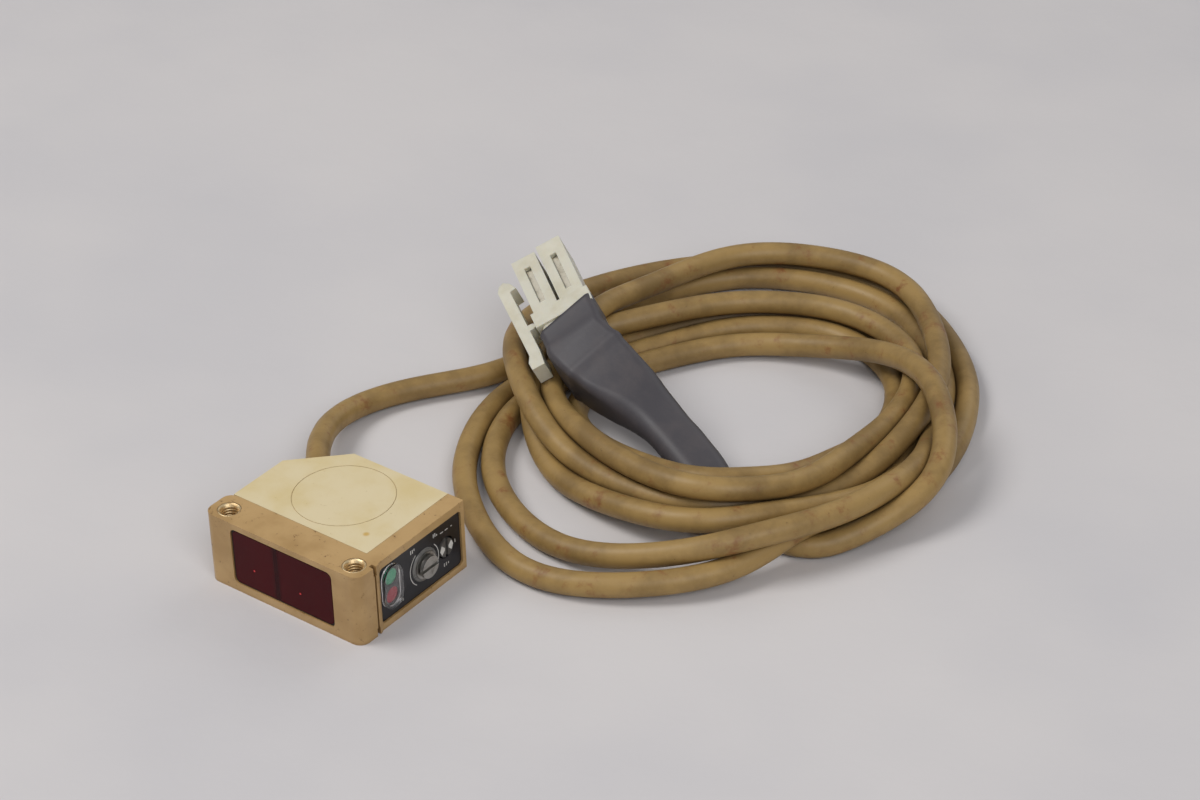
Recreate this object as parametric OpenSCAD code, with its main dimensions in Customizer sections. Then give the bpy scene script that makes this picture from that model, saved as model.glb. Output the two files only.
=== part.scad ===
// Compact photoelectric proximity sensor with its cable, shrink sleeve and nylon plug.
// It lies on its flat side: the lens face looks along -Y, the control panel along +X,
// and the cable leaves the bevelled rear left corner.

/* [Case] */
// Width of the case, from its left face to the control panel face
case_w = 31; // [30:0.5:36]
// Depth of the case, from the lens face to the rear face
case_d = 25.5; // [24:0.5:31]
// Thickness of the case
case_h = 12.7; // [12:0.1:16]
// Wall thickness of the case
wall = 1.2; // [0.9:0.1:1.5]
// Depth of the full-height block behind the lens face
block_d = 6.1; // [6:0.1:7]
// How far the front block stands out past the left wall
block_left_step = 0.8; // [0.3:0.1:1]
// How far the front block stands out past the panel face
block_right_step = 0.3; // [0.2:0.1:0.5]
// Corner radius of the front block
block_r = 1.8; // [1:0.1:2.2]
// Length of each leg of the bevel at the cable corner
bevel = 8; // [7:0.5:9]
// Width of the strip of case that carries the control panel
strip_w = 3; // [2.8:0.1:3.4]
// Thickness of the cover
cover_t = 1.6; // [1.2:0.1:2]
// Diameter of the ring scribed in the cover
cover_ring_d = 16.2; // [10:0.2:18]

/* [Mounting holes] */
// Distance between the two mounting holes
hole_pitch = 25.4; // [25:0.1:25.6]
// Distance of the first hole from the left face
hole_inset_x = 3; // [2.8:0.1:3.2]
// Distance of the holes from the lens face
hole_inset_y = 2.7; // [2.6:0.1:3]
// Drilled diameter of the M3 thread in the sleeves
thread_d = 2.5; // [2.4:0.1:2.6]
// Outer diameter of the threaded sleeves
sleeve_d = 3.8; // [3.6:0.1:4]

/* [Optics] */
// Width of the filter window
window_w = 20; // [17:0.5:20]
// Height of the filter window
window_h = 9.6; // [8:0.2:9.8]
// Thickness of the filter window
window_t = 1; // [0.6:0.1:1.2]
// Width of the rubber gasket round the window
gasket_w = 0.3; // [0.2:0.05:0.4]
// Diameter of each lens
lens_d = 7.6; // [6:0.2:7.8]
// Distance between the two optical axes
lens_pitch = 9.4; // [9:0.1:10]
// Diameter of the emitter and receiver bodies
eye_d = 3; // [2.5:0.1:3.4]

/* [Control panel] */
// Length of the control panel
panel_l = 18.8; // [17:0.2:19]
// Height of the control panel
panel_h = 9.6; // [9:0.2:10]
// Thickness of the control panel
panel_t = 1; // [0.8:0.1:1.2]
// How far the panel lies below the panel face
panel_sink = 0.3; // [0.1:0.1:0.5]
// Diameter of the sensitivity adjuster's head
knob_d = 3.8; // [3:0.1:4.2]
// How far the adjuster stands out past the panel face
knob_proud = 1; // [0.6:0.1:1.4]
// Diameter of the adjuster's shaft
knob_shaft_d = 1.8; // [1.4:0.1:2]
// Diameter of the mode selector's rotor
selector_d = 3.2; // [2.6:0.1:3.4]
// Width of the screwdriver slots
slot_w = 0.6; // [0.4:0.1:0.8]
// Width of the clear indicator lens
dome_w = 4.3; // [3.6:0.1:4.4]
// Height of the clear indicator lens
dome_h = 7.8; // [7:0.2:8.4]
// Diameter of the indicator lamps
lamp_d = 2.7; // [2:0.1:3]

/* [Cable and plug] */
// Diameter of the cable
cable_d = 4; // [3.6:0.1:4.2]
// Length of the plug that stands out of the sleeve
plug_l = 16.5; // [14:0.5:20]
// Width of the plug's cell block
plug_w = 9.4; // [8:0.1:10]
// Thickness of the plug's cell block
plug_h = 7.4; // [6.6:0.2:8]
// Length of the plug's latch lever
latch_l = 20.5; // [17:0.5:23]
// Length of the plug body that the shrink sleeve covers
tail_l = 7; // [5:0.5:8]

/* [Hidden] */

$fn = 48;
fit = 0.1;          // clearance between still pieces
run = 0.08;         // radial clearance of what turns
eps = 0.01;

x0 = -(case_w + knob_proud) / 2;    // left face
x1 = x0 + case_w;                   // control panel face
y0 = -case_d / 2;                   // lens face
y1 = case_d / 2;                    // rear face
yb = y0 + block_d;                  // rear of the front block
xl = x0 + block_left_step;          // left wall behind the block
xs = x1 - strip_w;                  // inner edge of the panel strip
zc = case_h - cover_t;              // underside of the cover

hole_x = [x0 + hole_inset_x, x0 + hole_inset_x + hole_pitch];
hole_y = y0 + hole_inset_y;
mid_x = x0 + hole_inset_x + hole_pitch / 2;     // halfway between the holes

window_z = case_h * 0.5 + 0.2;      // height of the optical axes
window_sink = 0.2;
ledge = 0.8;                        // what the window rests against
pocket_d = window_sink + window_t + 0.1;
ledge_y = y0 + pocket_d + 0.6;      // back of the ledge
optics_w = 2 * (lens_pitch / 2 + lens_d / 2 + 0.9);
optics_h = lens_d + 1;
optics_back = yb + 2.4;             // back of the optics holder
cavity_w = optics_w + 2 * fit;

panel_y = y0 + 15;                  // middle of the control panel
panel_z = case_h / 2 - 0.15;
panel_x = x1 - panel_sink;          // front of the control panel
dome_y = panel_y - panel_l / 2 + dome_w / 2 + 0.25;
dome_z = panel_z + 0.6;
knob_y = panel_y + 0.95;
knob_z = panel_z - 0.2;
selector_y = panel_y + 6.1;
well_r = 2.9;                       // round well that the adjuster sits in
well_t = 0.4;
board_x = xs - 1.3;                 // inner face of the panel circuit board
board_t = 1;
board_z = wall + 1;                 // underside of the main circuit board

cable_z = 6.4;                      // height at which the cable leaves
bevel_mid = [xl + bevel / 2, y1 - bevel / 2];
bush_d = 6.4;
bush_out = 3.5;                     // how far the bush stands out of the bevel
bush_in = 1.6;                      // its flange inside the wall

// Cable route from the bevel to the coil, and the coil's turns.
// Each turn is a row of [radius, height] every 30 degrees, going round clockwise
// from the left, and the loose loops cross and lie on each other. A cord keeps its points
// when a size changes.
lead_route = [[-14.2, 11.75, 6.4], [-18.6, 16, 6], [-22.2, 20.7, 5.1], [-25.2, 26, 4],
    [-26.7, 31.2, 3], [-26.8, 36, 2.2], [-25.5, 40.2, 2], [-23, 44.5, 2], [-20, 48.3, 2],
    [-16.2, 52.7, 2], [-14, 55.5, 2]];
coil_centre = [26.5, 66.5];
coil_turns = [
    [[37, 2], [29.5, 5.5], [33, 5.5], [36.5, 5.5], [35.5, 5.5], [29, 5.5],
     [25.2, 5.5], [28.2, 6.5], [31, 9], [26.5, 8], [26, 7.5], [29.5, 6]],
    [[31.5, 5], [36.5, 5.5], [49, 6], [51, 5.5], [40, 6], [33, 5.5],
     [28.7, 2.5], [26.7, 2.5], [30, 5.5], [27.5, 4.5], [29, 5], [33, 7.5]],
    [[42, 6], [49.5, 2], [52, 2], [51.5, 2], [43.5, 2], [38, 2],
     [35.5, 2], [34.5, 3], [44.8, 3.5], [52, 2], [46, 2], [39.5, 2]],
    [[33.5, 2], [31, 2], [35, 2], [38.5, 2], [36.5, 2], [31, 2],
     [32.2, 2], [31.2, 3.5], [34.5, 5.5], [31.5, 4], [31, 2], [32.5, 4]],
    [[37, 6], [41, 2], [48, 2], [48.5, 2], [41, 2], [35, 2],
     [37.5, 5], [38.8, 5.5], [41.8, 4.5], [44, 2], [41, 2], [36, 2]],
    [[29.5, 2], [27, 2], [31, 2], [34.5, 2], [32.5, 2], [27, 2],
     [22.2, 3.5], [24.2, 5.5], [27.5, 8.5], [22.5, 6], [23, 4.5], [25.5, 2.5]],
    [[25.5, 2], [23, 2], [25, 2], [27, 3], [30.5, 6.5], [35, 9],
     [40.3, 7.5], [37.5, 2.5], [30, 2.5], [26, 3], [26, 3], [26, 3]]];
stations = len(coil_turns[0]);
// Where the plug and its sleeve lie on the coil, its outer shape gives way to them:
// how far it is drawn in from the middle, and how far its top is lowered
coil_room = [[0, 0.9], [0, 0], [0, 0], [0, 0], [0, 0], [0, 0], [0, 0], [0, 0], [0, 0],
    [1.5, 0], [4.5, 1.8], [1.5, 4]];

// The plug lies across the coil with its tip raised and its latch side low.
plug_pos = [-0.7, 61.2, 14.2];
plug_heading = 146;
plug_tilt = 13;
plug_roll = -25;
sleeve_route = [[12.5, 55.3, 10.4], [21.8, 53.2, 8], [31.3, 50.2, 5.8], [41, 46.6, 3.4]];
sleeve_w = 9.4;                     // width and height of the sleeve where it lies flat
sleeve_h = 5.8;
sleeve_end_w = 6;                   // and at its end on the cable
sleeve_end_h = 5;
latch_gap = 2.2;                    // gap between the plug's cells and the lever
latch_t = 2;
latch_h = 4;
shoulder_t = 3.2;
tail_r = 1.2;                       // corner radius of the plug's tail

function lerp(a, b, t) = a + (b - a) * t;
function spline(p, t) = let (n = len(p) - 1, i = min(floor(t * n), n - 1), f = t * n - i,
    a = i > 0 ? p[i - 1] : 2 * p[0] - p[1], b = p[i], c = p[i + 1],
    d = i + 2 <= n ? p[i + 2] : 2 * p[n] - p[n - 1])
    0.5 * (2 * b + (c - a) * f + (2 * a - 5 * b + 4 * c - d) * f * f
    + (3 * b - 3 * c + d - a) * f * f * f);
function unit(v) = v / norm(v);
function tangent(p, t) = unit(spline(p, min(1, t + 0.01)) - spline(p, max(0, t - 0.01)));
function arc(cx, cy, r, a0, a1, n) = [for (i = [0 : n])
    [cx + r * cos(lerp(a0, a1, i / n)), cy + r * sin(lerp(a0, a1, i / n))]];
function round_box(w, h, r, n = 8) = concat(arc(w / 2 - r, h / 2 - r, r, 0, 90, n),
    arc(-w / 2 + r, h / 2 - r, r, 90, 180, n), arc(-w / 2 + r, -h / 2 + r, r, 180, 270, n),
    arc(w / 2 - r, -h / 2 + r, r, 270, 360, n));

// Outline of the case behind the front block, drawn in by a margin, with a bevel of leg b
function rear_outline(m, b = bevel) = [[xl + m, y0 + 1.2 + m], [x1 - m, y0 + 1.2 + m],
    [x1 - m, y1 - m], [xl + b + m * 0.414, y1 - m], [xl + m, y1 - b - m * 0.414]];

module front_plate(w, h, r, t) {    // a plate that faces -Y, its front at y = 0
    rotate([90, 0, 0]) translate([0, 0, -t]) linear_extrude(t) polygon(round_box(w, h, r));
}
module side_plate(w, h, r, t) {     // a plate that faces +X, its front at x = 0
    translate([-t, 0, 0]) rotate([90, 0, 90]) linear_extrude(t) polygon(round_box(w, h, r));
}
module drum(r, t) rotate([0, -90, 0]) cylinder(r = r, h = t);   // from x = 0 inwards
module cable_frame(out) {           // local +x points out of the bevel along the cable
    translate([bevel_mid[0], bevel_mid[1], cable_z]) rotate([0, 0, 135])
        translate([out, 0, 0]) children();
}
module plug_frame() {
    translate(plug_pos) rotate([0, 0, plug_heading]) rotate([0, -plug_tilt, 0])
        rotate([plug_roll, 0, 0]) children();
}

module case_body() {
    bw = case_w + block_right_step;
    color("#a98c5c") difference() {
        union() {
            translate([x0 + bw / 2, y0 + block_d / 2, 0])
                linear_extrude(case_h) polygon(round_box(bw, block_d, block_r));
            linear_extrude(zc) polygon(rear_outline(0));
            translate([xs, yb - 1, 0]) cube([strip_w, y1 - yb + 1, case_h]);
        }
        // groove between the block and the panel strip, deeper at its two ends
        translate([x1 - 0.15, yb - 2.2, -1]) cube([2, 0.35, case_h + 2]);
        for (z = [-1, case_h - 1.6]) translate([x1 - 0.6, yb - 2.4, z]) cube([2, 0.7, 2.4]);
        // window pocket, ledge opening and optics chamber
        translate([mid_x, y0 - eps, window_z]) {
            front_plate(window_w + 2 * gasket_w, window_h + 2 * gasket_w, 1, pocket_d + eps);
            front_plate(window_w - 2 * ledge, window_h - 2 * ledge, 0.6, pocket_d + 2);
        }
        translate([mid_x - cavity_w / 2, ledge_y, window_z - optics_h / 2 - fit])
            cube([cavity_w, yb - ledge_y + 1, optics_h + 2 * fit]);
        // main chamber
        translate([0, 0, wall]) linear_extrude(case_h) intersection() {
            polygon(rear_outline(wall));
            translate([xl, yb]) square([xs - xl, case_d]);
        }
        // control panel pocket, and the way from it into the chamber
        translate([x1 + eps, panel_y, panel_z]) {
            side_plate(panel_l + 2 * gasket_w, panel_h + 2 * gasket_w, 0.8,
                panel_sink + panel_t + 0.1 + eps);
            side_plate(panel_l - 1.2, panel_h - 1.2, 0.6, strip_w + 1);
        }
        for (x = hole_x) translate([x, hole_y, -1]) cylinder(d = sleeve_d + 0.02, h = case_h + 2);
        cable_frame(-wall - 1) rotate([0, 90, 0]) cylinder(d = bush_d + 0.02, h = wall + 2);
    }
    // rails that the main circuit board rests on
    color("#a98c5c") for (x = [xl + wall + 2, xs - 4])
        translate([x, yb + 3, wall - eps]) cube([1.2, 6, 1 + eps]);
}

module side_cover() {
    edge = 0.5;
    color("#d2c292") difference() {
        union() {
            translate([0, 0, zc + 0.02]) linear_extrude(cover_t - 0.02) cover_outline(0, 0.05);
            translate([0, 0, zc - 0.9]) linear_extrude(0.93) difference() {
                cover_outline(wall + fit, fit);
                cover_outline(wall + fit + 0.8, fit + 0.8);
                translate([mid_x - optics_w / 2 - 0.3, yb]) square([optics_w + 0.6, 3]);
            }
        }
        translate([-0.95 + (x0 + 16), y0 + 15.8, case_h - 0.12]) difference() {
            cylinder(d = cover_ring_d + 0.25, h = edge);
            cylinder(d = cover_ring_d, h = 3 * edge, center = true);
        }
    }
}
module cover_outline(m, gap) {
    intersection() {
        polygon(rear_outline(m));
        translate([xl - 1, yb + gap]) square([xs - xl + 1 - gap, case_d]);
    }
}

module mounting_sleeves() {
    color("#b7ab8c") for (x = hole_x) translate([x, hole_y, 0]) difference() {
        cylinder(d = sleeve_d, h = case_h);
        translate([0, 0, -1]) cylinder(d = thread_d, h = case_h + 2);
    }
}

module filter_window() {
    color("#3a1418") translate([mid_x, y0 + window_sink, window_z])
        front_plate(window_w, window_h, 0.9, window_t);
}
module window_gasket() {
    color("#17130f") translate([mid_x, y0 + window_sink + 0.1, window_z]) difference() {
        front_plate(window_w + 2 * gasket_w - 0.02, window_h + 2 * gasket_w - 0.02, 1, window_t);
        translate([0, -1, 0]) front_plate(window_w + 0.02, window_h + 0.02, 0.9, window_t + 2);
    }
}

module lens(side) {
    dome = 1.4;
    r = lens_d / 2;
    sphere_r = (r * r + dome * dome) / (2 * dome);
    translate([mid_x + side * lens_pitch / 2, ledge_y + 1.6, window_z]) rotate([90, 0, 0]) {
        cylinder(r = r, h = 0.01 + 0.6, center = true);
        intersection() {
            translate([0, 0, 0.3]) cylinder(r = r, h = dome);
            translate([0, 0, 0.3 + dome - sphere_r]) sphere(r = sphere_r);
        }
    }
}
module emitter_lens() color("#e8e4dc") lens(-1);
module receiver_lens() color("#e8e4dc") lens(1);

module optics_holder() {
    depth = optics_back - ledge_y - fit;
    color("#22201f") difference() {
        translate([mid_x - optics_w / 2, ledge_y + fit, window_z - optics_h / 2])
            cube([optics_w, depth, optics_h]);
        for (s = [-1, 1]) translate([mid_x + s * lens_pitch / 2, ledge_y, window_z])
            rotate([-90, 0, 0]) {
                translate([0, 0, -1]) cylinder(d = lens_d + fit, h = 2.95);
                cylinder(d = lens_d - 1, h = depth - 2);
                cylinder(d = eye_d + fit, h = depth + 3);
            }
        // slot for the baffle
        translate([mid_x - 0.45, ledge_y - 1, window_z - optics_h / 2 - 1])
            cube([0.9, 2.4, optics_h + 2]);
    }
}
module light_baffle() {
    color("#151314") translate([mid_x - 0.4, y0 + pocket_d + 0.05, window_z - window_h / 2 + ledge + 0.1])
        cube([0.8, ledge_y - y0 - pocket_d + 1.2, window_h - 2 * ledge - 0.2]);
}

module eye(side, h) {               // a small lamp body with two legs down to the board
    translate([mid_x + side * lens_pitch / 2, optics_back + 1, window_z]) {
        rotate([90, 0, 0]) {
            cylinder(d = eye_d, h = h);
            translate([0, 0, h]) sphere(d = eye_d);
            cylinder(d = eye_d + 0.6, h = 0.8);
        }
        for (s = [-1, 1]) translate([s * 0.7 - 0.2, 0, 0]) {
            translate([0, -0.1, -0.2]) cube([0.4, 1.3, 0.4]);
            translate([0, 0.8, board_z + board_t - window_z]) cube([0.4, 0.4, window_z - board_z - board_t]);
        }
    }
}
module emitter_led() color("#b3332e") eye(-1, 3);
module receiver_photodiode() color("#2b2724") eye(1, 2.2);

module main_circuit_board() {
    m = wall + 0.4;
    color("#3d6b45") translate([0, 0, board_z]) linear_extrude(board_t) intersection() {
        polygon(rear_outline(m, bevel + 2.4));
        translate([xl, optics_back + 1.2]) square([board_x - 0.4 - xl, case_d]);
    }
}
board_top = board_z + board_t;
module control_chip() {
    color("#26262a") {
        translate([mid_x - 1.5, optics_back + 3.5, board_top]) cube([7, 5, 1.5]);
        for (i = [0 : 5], s = [0, 1])
            translate([mid_x - 1 + i * 1.1, optics_back + 3 + s * 5.4, board_top]) cube([0.5, 0.6, 0.7]);
    }
}
module board_components() {
    color("#8a7a5a") {
        for (i = [0 : 2]) translate([mid_x - 1.2, optics_back + 10 + i * 1.5, board_top]) cube([1.6, 0.8, 0.6]);
        for (i = [0 : 1]) translate([mid_x - 10.4, optics_back + 2.8 + i * 1.5, board_top]) cube([1.6, 0.8, 0.6]);
        translate([mid_x + 3.2, optics_back + 11.4, board_top]) cylinder(d = 3, h = 3.4);
        translate([mid_x + 6, optics_back + 10.6, board_top]) cube([2.8, 2, 1.2]);
    }
}
module board_header() {
    color("#2a2a2c") translate([board_x - 2.2, panel_y - 4, board_top]) cube([2.15, 8, 1.8]);
}
module panel_circuit_board() {
    color("#3d6b45") translate([board_x, panel_y - panel_l / 2 + 1, board_top])
        cube([board_t, panel_l - 2, zc - 0.95 - board_top]);
}

module control_panel() {
    color("#1b1a1e") translate([panel_x, panel_y, panel_z]) difference() {
        side_plate(panel_l, panel_h, 0.7, panel_t);
        translate([eps, knob_y - panel_y, knob_z - panel_z]) {
            drum(well_r, well_t + eps);
            drum(knob_shaft_d / 2 + run, panel_t + 1);
        }
        translate([eps, selector_y - panel_y, 0]) {
            drum(selector_d / 2 + 0.3, 0.7 + eps);
            drum(0.8 + run, panel_t + 1);
        }
        for (z = [-1.7, 1.7]) translate([eps, dome_y - panel_y, dome_z - panel_z + z])
            drum(lamp_d / 2 + 0.05, panel_t + 1);
    }
}
module panel_gasket() {
    color("#17130f") translate([x1 - panel_sink - 0.1, panel_y, panel_z]) difference() {
        side_plate(panel_l + 2 * gasket_w - 0.02, panel_h + 2 * gasket_w - 0.02, 0.8, panel_t);
        translate([1, 0, 0]) side_plate(panel_l + 0.02, panel_h + 0.02, 0.7, panel_t + 2);
    }
}
module indicator_lens() {
    rim = 0.4;
    color([0.85, 0.88, 0.86, 0.4]) translate([panel_x, dome_y, dome_z]) difference() {
        translate([0.75, 0, 0]) side_plate(dome_w, dome_h, dome_w / 2 - 0.01, 0.74);
        translate([0.35, 0, 0]) side_plate(dome_w - 2 * rim, dome_h - 2 * rim, dome_w / 2 - rim - 0.01, 1);
    }
}
module lamp(z) {
    r = lamp_d / 2;
    translate([panel_x - 1.6, dome_y, dome_z + z]) rotate([0, 90, 0]) {
        cylinder(r = r, h = 1.4);
        translate([0, 0, 1.4]) intersection() {
            cylinder(r = r, h = 0.45);
            translate([0, 0, 0.45 - 2.4]) sphere(r = 2.4);
        }
    }
}
module stability_led() color("#1f9c6c") lamp(1.7);
module output_led() color("#b02a35") lamp(-1.7);

module adjuster_knob() {
    head = knob_proud + panel_sink + well_t - 1.1;
    color("#b9b9b6") translate([x1 + knob_proud, knob_y, knob_z]) difference() {
        union() {
            drum(knob_d / 2, head);
            drum(knob_d / 2 - 0.5, head + 0.5);
            translate([-head - 0.3, 0, 0]) drum(knob_d / 2 + 0.4, 0.6);
            drum(knob_shaft_d / 2, knob_proud + panel_sink + panel_t + 1.2);
        }
        translate([-0.5, -knob_d, -slot_w / 2]) cube([1, 2 * knob_d, slot_w]);
    }
}
module adjuster_seal() {
    color("#17130f") translate([panel_x - panel_t - 0.02, knob_y, knob_z]) difference() {
        drum(1.9, 0.7);
        translate([1, 0, 0]) drum(knob_shaft_d / 2 + run, 3);
    }
}
module trimmer_potentiometer() {
    color("#4a5d86") translate([panel_x - panel_t - 0.75, knob_y, knob_z]) difference() {
        rotate([90, 0, 90]) translate([-2.6, -2.6, board_x + board_t - panel_x + panel_t + 0.77])
            cube([5.2, 5.2, panel_x - panel_t - board_x - board_t - 0.79]);
        translate([1, 0, 0]) drum(knob_shaft_d / 2 + run, 2 + knob_proud);
    }
}
module mode_selector() {
    color("#d9d9d4") translate([panel_x + 0.2, selector_y, panel_z]) difference() {
        union() {
            drum(selector_d / 2, 0.7);
            drum(0.8, panel_t + 1.2);
        }
        translate([-0.4, -slot_w / 2, -selector_d]) cube([1, slot_w, 2 * selector_d]);
    }
}
module selector_seal() {
    color("#17130f") translate([panel_x - panel_t - 0.02, selector_y, panel_z]) difference() {
        drum(1.6, 0.5);
        translate([1, 0, 0]) drum(0.8 + run, 3);
    }
}
module mode_switch() {
    back = board_x + board_t;
    color("#2f3a4a") difference() {
        translate([back + 0.02, selector_y - 2, panel_z - 2.2]) cube([panel_x - panel_t - 0.56 - back, 4, 4.4]);
        translate([panel_x, selector_y, panel_z]) drum(0.8 + run, panel_t + 1.3);
    }
}

module cable_bush() {
    color("#8b6f40") cable_frame(0) difference() {
        union() {
            translate([-wall - bush_in, 0, 0]) rotate([0, 90, 0]) cylinder(d = bush_d + 1, h = bush_in - 0.02);
            translate([-wall - 0.05, 0, 0]) rotate([0, 90, 0]) cylinder(d = bush_d, h = wall + 0.05);
            rotate([0, 90, 0]) cylinder(d1 = bush_d, d2 = cable_d + 1.2, h = bush_out);
        }
        translate([-5, 0, 0]) rotate([0, 90, 0]) cylinder(d = cable_d + 0.04, h = 12);
    }
}
clamp_x = -wall - bush_in - 1.9;
module cable_clamp() {
    color("#b9b4a6") cable_frame(clamp_x) rotate([0, 90, 0]) difference() {
        cylinder(d = cable_d + 1.4, h = 1.8);
        translate([0, 0, -1]) cylinder(d = cable_d + 0.04, h = 4);
    }
}
module core_wires() {
    color("#7a4a2c") cable_frame(clamp_x - 0.42) for (a = [45 : 90 : 315])
        translate([-1.4, 0.85 * cos(a), 0.85 * sin(a)]) rotate([0, 90, 0]) cylinder(d = 0.9, h = 1.4);
}
module wire_terminal() {
    color("#e6e2d6") cable_frame(clamp_x - 1.84) translate([-2, -2.4, board_top - cable_z])
        cube([1.98, 4.8, cable_z + 1.8 - board_top]);
}

// Faces of a solid swept through rings of points that go round the same way
function swept_faces(rings, sides) = concat([[for (j = [0 : sides - 1]) j]],
    [for (i = [0 : rings - 1], j = [0 : sides - 1]) let (k = (j + 1) % sides, b = i * sides)
        [b + j, b + sides + j, b + sides + k, b + k]],
    [[for (j = [sides - 1 : -1 : 0]) rings * sides + j]]);
module tube(route, r, sides, rings) {
    points = [for (i = [0 : rings]) let (t = i / rings, c = spline(route, t), d = tangent(route, t),
        side = unit(cross([0, 0, 1], d)), up = cross(d, side))
        for (j = [0 : sides - 1]) let (a = 360 * j / sides) c + r * (cos(a) * side + sin(a) * up)];
    polyhedron(points, swept_faces(rings, sides));
}
module cable_lead() {
    inner = clamp_x - 0.4;
    way = [for (s = [inner, 0]) [bevel_mid[0] - s * cos(45), bevel_mid[1] + s * sin(45), cable_z]];
    color("#93733f") tube(concat(way, lead_route), cable_d / 2, 10, 26);
}

// The coil's outer shape: a ring whose width and height follow the loops inside it
function column(list, i, k) = [for (row = list) row[i][k]];
module cable_coil() {
    r = cable_d / 2;
    steps = 36;
    inner = [for (i = [0 : stations]) min(column(coil_turns, i % stations, 0)) - r + coil_room[i % stations][0]];
    outer = [for (i = [0 : stations]) max(column(coil_turns, i % stations, 0)) + r];
    top = [for (i = [0 : stations]) max(column(coil_turns, i % stations, 1)) + r - coil_room[i % stations][1]];
    points = [for (s = [0 : steps - 1]) let (t = s / steps, a = 180 - 360 * t,
        ri = spline(inner, t), ro = spline(outer, t), h = spline(top, t))
        for (p = [[ri, 1], [ri + 1, 0], [ro - 1, 0], [ro, 1], [ro, h * 0.45], [ro - 4, h], [ri + 3, h], [ri, h * 0.5]])
            [coil_centre[0] + p[0] * cos(a), coil_centre[1] + p[0] * sin(a), p[1]]];
    n = 8;
    faces = [for (s = [0 : steps - 1], j = [0 : n - 1]) let (k = (j + 1) % n, b = s * n, c = ((s + 1) % steps) * n)
        [b + j, c + j, c + k, b + k]];
    color("#9c7f4f") polyhedron(points, faces);
}

// Shrink sleeve: boxy over the plug's tail, round and tight on the cable, and open
// at the plug's end, where its first two rings line the room for the tail
function plug_axis(x) = [plug_pos[0] + x * cos(plug_heading) * cos(plug_tilt),
    plug_pos[1] + x * sin(plug_heading) * cos(plug_tilt), plug_pos[2] + x * sin(plug_tilt)];
function placed(outline, c, d, turn) = let (side = unit(cross([0, 0, 1], d)), up = cross(d, side))
    [for (p = outline) c + (p[0] * cos(turn) - p[1] * sin(turn)) * side
        + (p[0] * sin(turn) + p[1] * cos(turn)) * up];
module shrink_sleeve() {
    rings = 24;
    skin = 0.8;
    mouth = plug_axis(-0.4);
    route = concat([mouth, plug_axis(-tail_l / 2), plug_axis(-tail_l)], sleeve_route);
    lining = round_box(plug_w + 0.04, plug_h + 0.04, tail_r, 4);
    way = unit(plug_axis(-1) - plug_axis(0));
    inside = concat(placed(lining, plug_axis(-tail_l - 0.02), way, -plug_roll),
        placed(lining, mouth, way, -plug_roll));
    outside = [for (i = [0 : rings]) let (t = i / rings, k = min(1, max(0, (t - 0.36) / 0.4)),
        e = k * k * (3 - 2 * k),
        narrow = pow(max(0, (t - 0.75) / 0.25), 2),
        w = lerp(lerp(plug_w + 2 * skin, sleeve_w, e), sleeve_end_w, narrow),
        h = lerp(lerp(plug_h + 2 * skin, sleeve_h, e), sleeve_end_h, narrow))
        for (p = placed(round_box(w, h, lerp(tail_r + 0.4, h / 2 - 0.02, e), 4), spline(route, t),
            i == 0 ? way : tangent(route, t), lerp(-plug_roll, 0, e))) p];
    color("#5b5659") polyhedron(concat(inside, outside), swept_faces(rings + 2, 20));
}

cell_w = (plug_w - 0.5) / 2;
cell_h = (plug_h - 0.5) / 2;
module plug_housing() {
    color([0.82, 0.80, 0.70, 0.9]) plug_frame() difference() {
        union() {
            translate([-tail_l, 0, 0]) rotate([90, 0, 90]) linear_extrude(tail_l)
                polygon(round_box(plug_w, plug_h, tail_r));
            translate([-0.2, -plug_w / 2 - 0.6, -plug_h / 2 - 0.4]) cube([shoulder_t, plug_w + 1.2, plug_h + 0.8]);
            for (s = [-1, 1], v = [-1, 1]) translate([0, s * (cell_w + 0.5) / 2, v * (cell_h + 0.5) / 2])
                translate([0, -cell_w / 2, -cell_h / 2]) cube([plug_l - (s > 0 ? 0.7 : 0), cell_w, cell_h]);
        }
        for (s = [-1, 1], v = [-1, 1]) translate([0, s * (cell_w + 0.5) / 2, v * (cell_h + 0.5) / 2]) {
            translate([4, -cell_w / 2 + 0.8, -cell_h / 2 + 0.8]) cube([plug_l, cell_w - 1.6, cell_h - 1.6]);
            translate([4.8, -0.55, v > 0 ? 0 : -cell_h]) cube([plug_l - 8, 1.1, cell_h]);
        }
    }
}
latch_y = plug_w / 2 + latch_gap;       // inner face of the lever at its front
latch_pivot = [shoulder_t / 2, plug_w / 2 + 1.25];
latch_front = latch_l * 0.66;
latch_rear = latch_front - latch_l;
module plug_latch() {
    rear_y = latch_y - 0.5;             // the press end comes nearer the sleeve
    color([0.82, 0.80, 0.70, 0.9]) plug_frame() translate([0, 0, -latch_h / 2 + 0.9]) {
        linear_extrude(latch_h) polygon([[latch_rear, rear_y + 0.2], [latch_rear + 3, rear_y],
            [latch_front - 2.6, latch_y], [latch_front - 2.4, latch_y - 1.2], [latch_front - 0.8, latch_y - 0.5],
            [latch_front, latch_y + 0.5], [latch_front - 0.4, latch_y + 1.4], [latch_front - 1.6, latch_y + latch_t],
            [latch_rear + 3, rear_y + latch_t], [latch_rear + 1.6, rear_y + latch_t + 0.6],
            [latch_rear, rear_y + latch_t + 0.5]]);
        translate([latch_pivot[0], latch_pivot[1], 0]) {
            cylinder(r = 0.6, h = latch_h);
            translate([-0.6, 0, 0]) cube([1.2, latch_y - latch_pivot[1] + 0.4, latch_h]);
        }
    }
}
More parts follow.
